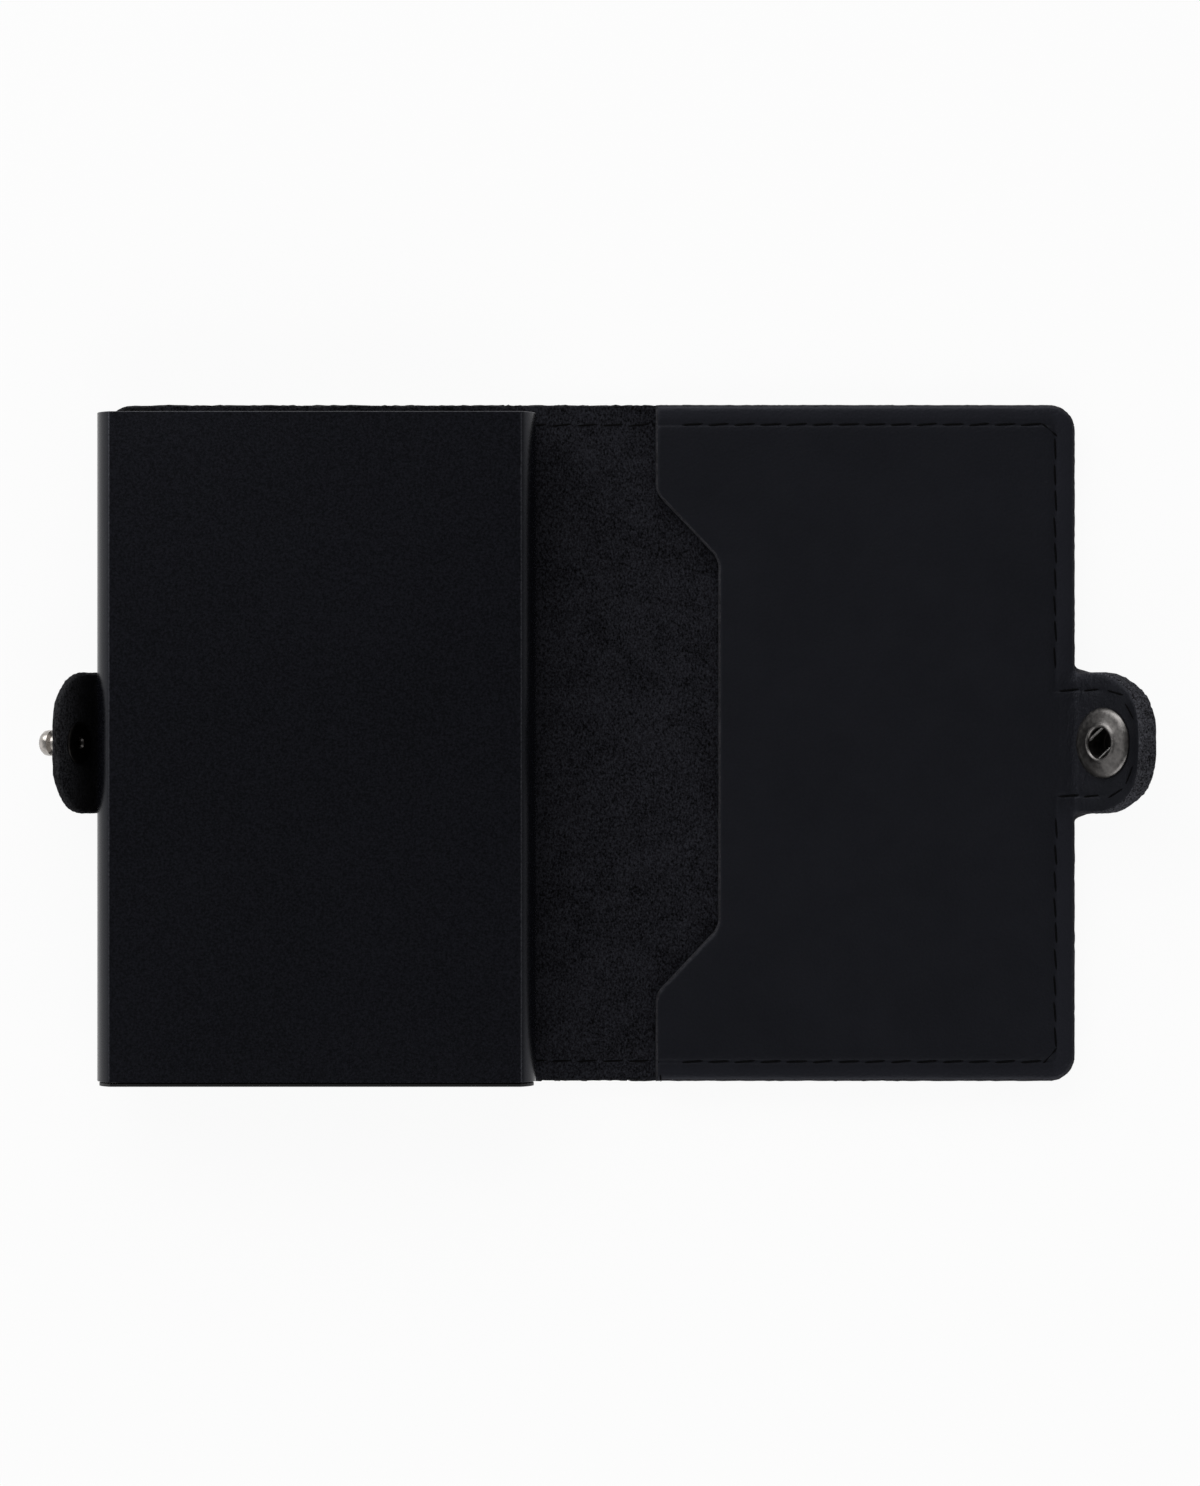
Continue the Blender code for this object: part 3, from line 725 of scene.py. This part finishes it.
def makeTab(name, tab, edge, seam, level, inner, rim, node):
    obj = drawSheet(name, [(seam, -halfHeight, 0), *tabEnd(edge, tab), (seam, halfHeight, 0)], leatherTop)
    gauge = gaugeRim(obj, (seam,))
    insetRim(obj, tabSettings["rim"])
    low, high = sorted((seam, tipOf(tab)))
    cutAcross(obj, bendLines(tab) + evenCuts(low, high, wrapSettings["rimStep"]))
    cutAlong(obj, evenCuts(-halfHeight, halfHeight, wrapSettings["rimStep"]))
    thicken(obj, leatherTop, inner, outerLeather, rim)
    roundRim(obj, gauge, tabSettings["rim"], upper=tab["roundTop"])
    fray(obj, tabSettings["fray"], (seam,), tab["seed"])
    curl(obj, tab, level)
    punchHole(obj, tab)
    settle(obj)
    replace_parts(blendAtBend(obj), node)


liningTop = hinge["closing_tab_bend"].z
makeTab("studTab", studTab, backEdge, backSeam, leatherTop, shadedTabSuede, fuzzyEdge, "stud_tab")
makeTab("closingTab", closingTab, flapHigh.x, tabSeam, liningTop, suede, tipEdge, "closing_tab_outer")
print("tabs bent up")


# slip pocket, running on as the tab's lining

pocketSettings = {
    "shoulder": 12.45 * mm, "notch": 8.9 * mm, "slope": 9.4 * mm, "bend": 3 * mm, "rim": 0.6 * mm,
    "fray": 0.05 * mm, "seed": 5, "seat": 0.02 * mm, "margin": 2.8 * mm, "tabMargin": 2.5 * mm,
    "press": 0.3 * mm, "groove": 0.13 * mm, "grooveHalf": 0.4 * mm, "grooveTo": 7 * mm, "grooveFade": 3 * mm,
    "tipFrom": 2.5 * mm, "tabStep": 0.45 * mm, "smooth": 50,
    # cuts beside the seams, in mm from the sewn edge and from the tab's seam
    "rows": (0.3, 0.6, 0.95, 1.4, 1.9, 2.3, 2.55, 2.8, 3.05, 3.3, 4.0),
    "tabRows": (-0.5, -0.25, 0, 0.25, 0.5, 1.2, 1.8),
}


def outlinePocket(pocket):
    left = pocketLow.x
    deep = left + pocket["notch"]
    mouth = halfHeight - pocket["shoulder"]
    floor = mouth - pocket["slope"]
    return [
        (left, -halfHeight, 0), *tabEnd(flapHigh.x, closingTab), (left, halfHeight, 0),
        (left, mouth, pocket["bend"]), (deep, floor, pocket["bend"]), (deep, -floor, pocket["bend"]),
        (left, -mouth, pocket["bend"]),
    ]


def cutPocket(obj, pocket):
    rows = [row * mm for row in pocket["rows"]]
    inside = rows[-1]
    step = wrapSettings["rimStep"]
    seam = tabSettings["half"] - pocket["tabMargin"]
    cutAcross(obj, bendLines(closingTab) + [flapHigh.x - row for row in rows])
    cutAcross(obj, evenCuts(pocketLow.x, flapHigh.x - inside, step))
    cutAcross(obj, evenCuts(flapHigh.x, tipOf(closingTab), pocket["tabStep"]))
    cutAlong(obj, [side * (seam + row * mm) for row in pocket["tabRows"] for side in (1, -1)])
    cutAlong(obj, [side * (halfHeight - row) for row in rows for side in (1, -1)])
    cutAlong(obj, evenCuts(inside - halfHeight, halfHeight - inside, step))


def sewnReach(x, y, pocket):
    # how far in from the sewn outline a point lies, on the flap or on its tab
    def inFrom(end, half, corner):
        overX = x - end + corner
        overY = abs(y) - half + corner
        return corner - math.hypot(max(overX, 0), max(overY, 0)) - min(max(overX, overY), 0)

    onTab = inFrom(tipOf(closingTab), tabSettings["half"], closingTab["corner"])
    onFlap = inFrom(flapHigh.x, halfHeight, wrapSettings["corner"])
    return max(0, onFlap, onTab + pocket["margin"] - pocket["tabMargin"])


def pressSeams(obj, pocket):
    # sewn edges are pressed down round, and the seam lies in a groove of its own
    middle = (liningTop + leatherTop) / 2
    grooveEnd = hinge["closing_tab_bend"].x + pocket["grooveTo"]
    for point in obj.data.vertices:
        if point.co.z > middle:
            reach = sewnReach(point.co.x, point.co.y, pocket)
            slack = max(0, 1 - reach / pocket["margin"])
            groove = max(0, 1 - abs(reach - pocket["margin"]) / pocket["grooveHalf"])
            groove *= min(1, max(0, (grooveEnd - point.co.x) / pocket["grooveFade"]))
            point.co.z -= pocket["press"] * slack ** 3 + pocket["groove"] * groove


def makePocket(pocket):
    obj = drawSheet("pocket", outlinePocket(pocket), liningTop)
    gauge = gaugeRim(obj)
    insetRim(obj, pocket["rim"])
    cutPocket(obj, pocket)
    thicken(obj, liningTop - leatherTop - pocket["seat"], pocketLeather, suede, cutEdge)
    roundRim(obj, gauge, pocket["rim"], lower=False)
    # the tab's tip is worn pale
    # the rim round the tab's tip takes the paler edge finish: pale raw fibre, and partly painted highlight
    # where the curled end faces the light
    obj.data.materials.append(tipEdge)
    tipIndex = len(obj.data.materials) - 1
    for face in obj.data.polygons:
        if face.material_index == rimIndex and face.center.x > flapHigh.x + pocket["tipFrom"]:
            face.material_index = tipIndex
    fray(obj, pocket["fray"], (), pocket["seed"])
    pressSeams(obj, pocket)
    curl(obj, closingTab, liningTop)
    punchHole(obj, closingTab)
    settle(obj, pocket["smooth"])
    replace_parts(blendAtBend(obj), "pocket_panel", "closing_tab_lining")


makePocket(pocketSettings)
print("pocket laid on")


# sewing: one stitch modelled, then copied along each seam

stitchSettings = {
    "length": 3.2 * mm, "width": 0.32 * mm, "height": 0.3 * mm, "sides": 8, "rings": 9, "swell": 1.18,
    "swellFrom": 0.2, "swellTo": 0.45, "pitch": 3.7 * mm, "slant": math.radians(5), "wobble": 0.04,
    "sunk": 0.13 * mm, "suedeSunk": 0.06 * mm,
}
seamSettings = {
    "cornerCut": 1.6 * mm, "mouthGap": 1 * mm, "wander": 0.14 * mm,
    "lastIn": 0.55 * mm, "lastUp": 1.5 * mm, "lastSunk": 0.1 * mm,
}
tabSeamSettings = {
    "straight": 4.6 * mm, "straightAt": (0.5, 1.5), "tipReach": 6.3 * mm, "tipTurns": (22, 60),
    "tipPowers": (0.85, 0.75), "tipHeading": 0.85, "lift": 0.08 * mm,
}
suedeSpots = {
    "nearStitches": ("spine_fold", (31.0 * mm,)),
    "spineStitches": ("spine_middle_fold", (34.6 * mm, 38.2 * mm)),
    "farStitches": ("flap_fold", (41.9 * mm, 45.6 * mm)),
}


def modelStitch(settings):
    sides, rings = settings["sides"], settings["rings"]
    obj = begin("uv_sphere", segments=sides, ring_count=rings, radius=0.5, rotation=(0, math.pi / 2, 0))
    bpy.ops.object.transform_apply(rotation=True)
    edit(obj)
    bpy.ops.mesh.select_all(action="SELECT")
    size = (settings["length"], settings["width"], settings["height"])
    bpy.ops.transform.resize(value=size, center_override=(0, 0, 0))
    # fuller towards its ends, where it dives into the hole
    low, high = (settings[key] * settings["length"] for key in ("swellFrom", "swellTo"))
    pick(obj, "VERT", lambda point: low < abs(point.co.x) < high)
    bpy.ops.transform.resize(value=(1, settings["swell"], settings["swell"]), center_override=(0, 0, 0))
    leaveEdit()
    bpy.ops.object.shade_smooth()
    obj.data.materials.append(thread)
    return obj


def sewAlong(name, places):
    # places are (x, y, level, heading)
    copies = []
    wobble = stitchSettings["wobble"]
    for x, y, level, heading in places:
        copy = stitch.copy()
        copy.data = stitch.data.copy()
        bpy.context.collection.objects.link(copy)
        copy.rotation_euler = (0, 0, heading + stitchSettings["slant"] + dice.uniform(-wobble, wobble))
        copy.location = (x, y, level)
        copies.append(copy)
    leaveEdit()
    bpy.ops.object.select_all(action="DESELECT")
    for copy in copies:
        copy.select_set(True)
    bpy.context.view_layer.objects.active = copies[0]
    bpy.ops.object.join()
    obj = bpy.context.object
    obj.name = obj.data.name = name
    bpy.ops.object.transform_apply(location=True, rotation=True, scale=True)
    return obj


stitch = modelStitch(stitchSettings)
sewLevel = pocketHigh.z - stitchSettings["sunk"]
seamX = flapHigh.x - pocketSettings["margin"]
seamY = halfHeight - pocketSettings["margin"]
tabSeamY = tabSettings["half"] - pocketSettings["tabMargin"]


def pocketPlaces(settings):
    # along the upper and lower edges, across each corner and down the end to the tab
    places = []
    pitch, cut, wander = stitchSettings["pitch"], settings["cornerCut"], settings["wander"]
    runs = int((seamX - cut - pocketLow.x - settings["mouthGap"]) / pitch)
    rows = int((seamY - cut - tabSeamY) / pitch)
    for side in (1, -1):
        for index in range(runs):
            places.append((seamX - cut - (index + 0.5) * pitch, side * seamY, sewLevel, 0))
        places.append((seamX - cut / 2, side * (seamY - cut / 2), sewLevel, -side * math.pi / 4))
        for index in range(rows):
            x = seamX + dice.uniform(-wander, wander)
            places.append((x, side * (seamY - cut - (index + 0.5) * pitch), sewLevel, math.pi / 2))
    # last stitch turns down over the lower edge at the pocket's mouth
    x, y = pocketLow.x + settings["lastIn"], settings["lastUp"] - halfHeight
    places.append((x, y, sewLevel - settings["lastSunk"], math.pi / 2))
    return places


def tabPlaces(settings):
    # off the flap's seam, along both sides of the tab and round its tip, laid flat
    straight = hinge["closing_tab_bend"].x + settings["straight"]
    powerX, powerY = settings["tipPowers"]
    places = []
    for side in (1, -1):
        for reach in settings["straightAt"]:
            places.append((seamX + reach * (straight - seamX) / 2, side * tabSeamY, sewLevel, 0))
        for turn in settings["tipTurns"]:
            angle = math.radians(turn)
            x = straight + settings["tipReach"] * math.sin(angle) ** powerX
            y = tabSeamY * math.cos(angle) ** powerY
            places.append((x, side * y, sewLevel + settings["lift"], -side * angle * settings["tipHeading"]))
    return places


pocketStitches = sewAlong("pocketStitches", pocketPlaces(seamSettings))
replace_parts(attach(pocketStitches, "flap"), "upper_pocket_thread", "lower_pocket_thread")

tabStitches = sewAlong("tabStitches", tabPlaces(tabSeamSettings))
curl(tabStitches, closingTab, pocketHigh.z)
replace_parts(blendAtBend(tabStitches), "closing_tab_thread")

suedeLevel = leatherTop - stitchSettings["suedeSunk"]
for name, (joint, spots) in suedeSpots.items():
    row = sewAlong(name, [(x, side * seamY, suedeLevel, 0) for x in spots for side in (1, -1)])
    blendAtFold(row)
bpy.data.objects.remove(stitch, do_unlink=True)
print("seams sewn")


# press stud: profiles are (radius, height) in mm, with heights above the tab's inner face

snapSettings = {
    "sides": 64, "smooth": 40, "postFrom": -2.9 * mm,
    "socket": [
        (2.15, 0.86), (2.2, 1.06), (2.36, 1.18), (2.58, 1.18), (2.78, 1.06), (3.0, 0.96), (4.1, 0.84),
        (4.5, 0.76), (4.78, 0.62), (4.95, 0.42), (5.0, 0.24), (4.94, 0.1), (2.8, 0.1), (2.8, -2.65),
        (1.5, -2.65), (1.5, -2.4), (2.15, -2.4), (2.15, 0.86),
    ],
    "cap": [
        (1.75, -2.1), (1.75, -2.35), (1.2, -2.4), (1.2, -3.0), (5.3, -3.0), (5.5, -3.15), (5.5, -3.45),
        (5.3, -3.72), (4.6, -4.05), (3.6, -4.25), (2.2, -4.37), (0.8, -4.4),
    ],
    "stud": [
        (0.9, -2.4), (1.05, -1.55), (3.1, -1.5), (3.2, -1.65), (3.2, -1.95), (3.05, -2.1), (1.5, -2.15),
        (1.25, -2.35), (1.25, -4.0), (1.5, -4.2), (1.8, -4.35), (1.85, -4.8), (1.77, -5.3), (1.47, -5.7),
        (0.97, -5.92), (0.35, -6.0),
    ],
    "eyelet": [
        (0.55, -0.9), (0.62, 0.1), (0.85, 0.36), (1.2, 0.4), (2.5, 0.38), (2.85, 0.33), (3.0, 0.22),
        (2.98, 0.1), (0.9, 0.08), (0.9, -2.5), (0.55, -2.5), (0.55, -0.9),
    ],
}


def turnOnLathe(name, profile, closed, sides):
    # a ring pulled along (radius, height) points
    radius, height = profile[0]
    obj = begin("circle", vertices=sides, radius=radius, fill_type="NOTHING", location=(0, 0, height))
    obj.name = obj.data.name = name
    bpy.ops.object.transform_apply(location=True)
    edit(obj, "EDGE")
    bpy.ops.mesh.select_all(action="SELECT")
    if not closed:
        pick(obj, "EDGE", lambda edge: True)
        bpy.ops.mesh.edge_face_add()
        bpy.ops.mesh.select_mode(type="EDGE")
    for nextRadius, nextHeight in profile[1:]:
        bpy.ops.mesh.extrude_edges_move(TRANSFORM_OT_translate={"value": (0, 0, nextHeight - height)})
        ratio = nextRadius / radius
        bpy.ops.transform.resize(value=(ratio, ratio, 1), center_override=(0, 0, 0))
        radius, height = nextRadius, nextHeight
    if not closed:
        bpy.ops.mesh.edge_face_add()
    bpy.ops.mesh.select_all(action="SELECT")
    bpy.ops.mesh.remove_doubles(threshold=touching)
    leaveEdit()
    return obj


def setSnap(name, kind, closed, tab, node, finish, postFrom=None):
    profile = [(radius * mm, height * mm) for radius, height in snapSettings[kind]]
    obj = turnOnLathe(name, profile, closed, snapSettings["sides"])
    seat(obj, tab)
    obj.data.materials.append(finish)
    if postFrom:
        # painted shade: the post is given the darker nickel where it sits inside the socket, out of the light
        obj.data.materials.append(shadedNickel)
        for face in obj.data.polygons:
            face.material_index = int(face.center.z > postFrom)
    settle(obj, snapSettings["smooth"])
    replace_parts(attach(obj, tab["bodies"][1]), node)


setSnap("socketRing", "socket", True, closingTab, "snap_socket", nickel)
setSnap("snapCap", "cap", False, closingTab, "snap_cap", nickel, snapSettings["postFrom"])
setSnap("studPost", "stud", False, studTab, "snap_stud", brightNickel)
# the eyelet takes the darker nickel: painted shade in the nook beside the case
setSnap("studEyelet", "eyelet", True, studTab, "stud_eyelet", shadedNickel)
print("press stud set")


# floor, light and camera

floorSettings = {"size": 4, "level": -0.25 * mm, "white": 0.88, "fleck": 1.01, "glow": 0.93}
tentSettings = {"sky": [(0, 0.80), (0.4, 0.38), (0.7, 0.14), (0.9, 0.125)], "leaning": -0.42}
lampSettings = {
    "size": (1.7, 0.7), "aim": (0.04, 0, 0),
    "lamps": {"keyLight": ((-0.30, 0.86, 0.44), 11.2), "fillLight": ((0.24, -0.86, 0.44), 6.0)},
}
cameraSettings = {
    "aim": (40.05 * mm, 0, 4 * mm), "distance": 0.70, "tilt": 0, "lens": 119.6, "sensor": 36, "nearest": 0.01,
}


def makeFloor(settings):
    floor = begin("plane", size=settings["size"], location=(0, 0, settings["level"]))
    floor.name = "floor"
    bpy.ops.object.transform_apply(location=True)
    finish = Finish("floorPaper", Roughness=0.9, Specular_IOR_Level=0.1)
    white = settings["white"]
    fleck = white * settings["fleck"]
    finish.use(Base_Color=finish.blend(finish.noise(300, 2), (white, white, white), (fleck, fleck, fleck)))
    # nearly white where it is looked at or mirrored, so that a little of the shadow still shows
    camera, glossy, through = (
        finish.add("ShaderNodeLightPath", {}, {}, "Is " + ray + " Ray")
        for ray in ("Camera", "Glossy", "Transmission")
    )
    seen = (camera + glossy + through).work("MINIMUM", 1) * settings["glow"]
    glow = finish.add("ShaderNodeEmission", {}, {"Color": (1, 1, 1, 1), "Strength": 1})
    paper = Wire(finish, finish.shader.outputs[0])
    both = finish.add("ShaderNodeMixShader", {}, {0: seen, 1: paper, 2: glow})
    finish.feed(finish.tree.nodes["Material Output"], {"Surface": both})
    floor.data.materials.append(finish.material)


def makeTent(settings):
    world = bpy.data.worlds.new("tent")
    bpy.context.scene.world = world
    world.use_nodes = True
    tent = Nodes(world.node_tree)
    direction = tent.add("ShaderNodeTexCoord", {}, {}, "Generated")
    across, height = (tent.add("ShaderNodeSeparateXYZ", {}, {"Vector": direction}, axis) for axis in "XZ")
    sky = tent.add("ShaderNodeValToRGB", {"stops": settings["sky"]}, {"Fac": height})
    # brighter on its left side
    tent.feed(tent.tree.nodes["Background"], {"Color": sky, "Strength": across * settings["leaning"] + 1})


def addLamps(settings):
    for name, (place, power) in settings["lamps"].items():
        bpy.ops.object.light_add(type="AREA", location=place)
        lamp = bpy.context.object
        lamp.name = name
        lamp.data.shape = "RECTANGLE"
        lamp.data.size, lamp.data.size_y = settings["size"]
        lamp.data.energy = power
        lamp.rotation_euler = (Vector(settings["aim"]) - Vector(place)).to_track_quat("-Z", "Y").to_euler()


def addCamera(settings):
    tilt = settings["tilt"]
    place = Vector(settings["aim"]) + settings["distance"] * Vector((0, math.sin(tilt), math.cos(tilt)))
    bpy.ops.object.camera_add(location=place, rotation=(-tilt, 0, 0))
    camera = bpy.context.object
    camera.data.lens = settings["lens"]
    camera.data.sensor_width = settings["sensor"]
    camera.data.clip_start = settings["nearest"]
    bpy.context.scene.camera = camera


makeFloor(floorSettings)
makeTent(tentSettings)
addLamps(lampSettings)
addCamera(cameraSettings)
bpy.context.scene.view_settings.view_transform = "Standard"
print("stage lit")
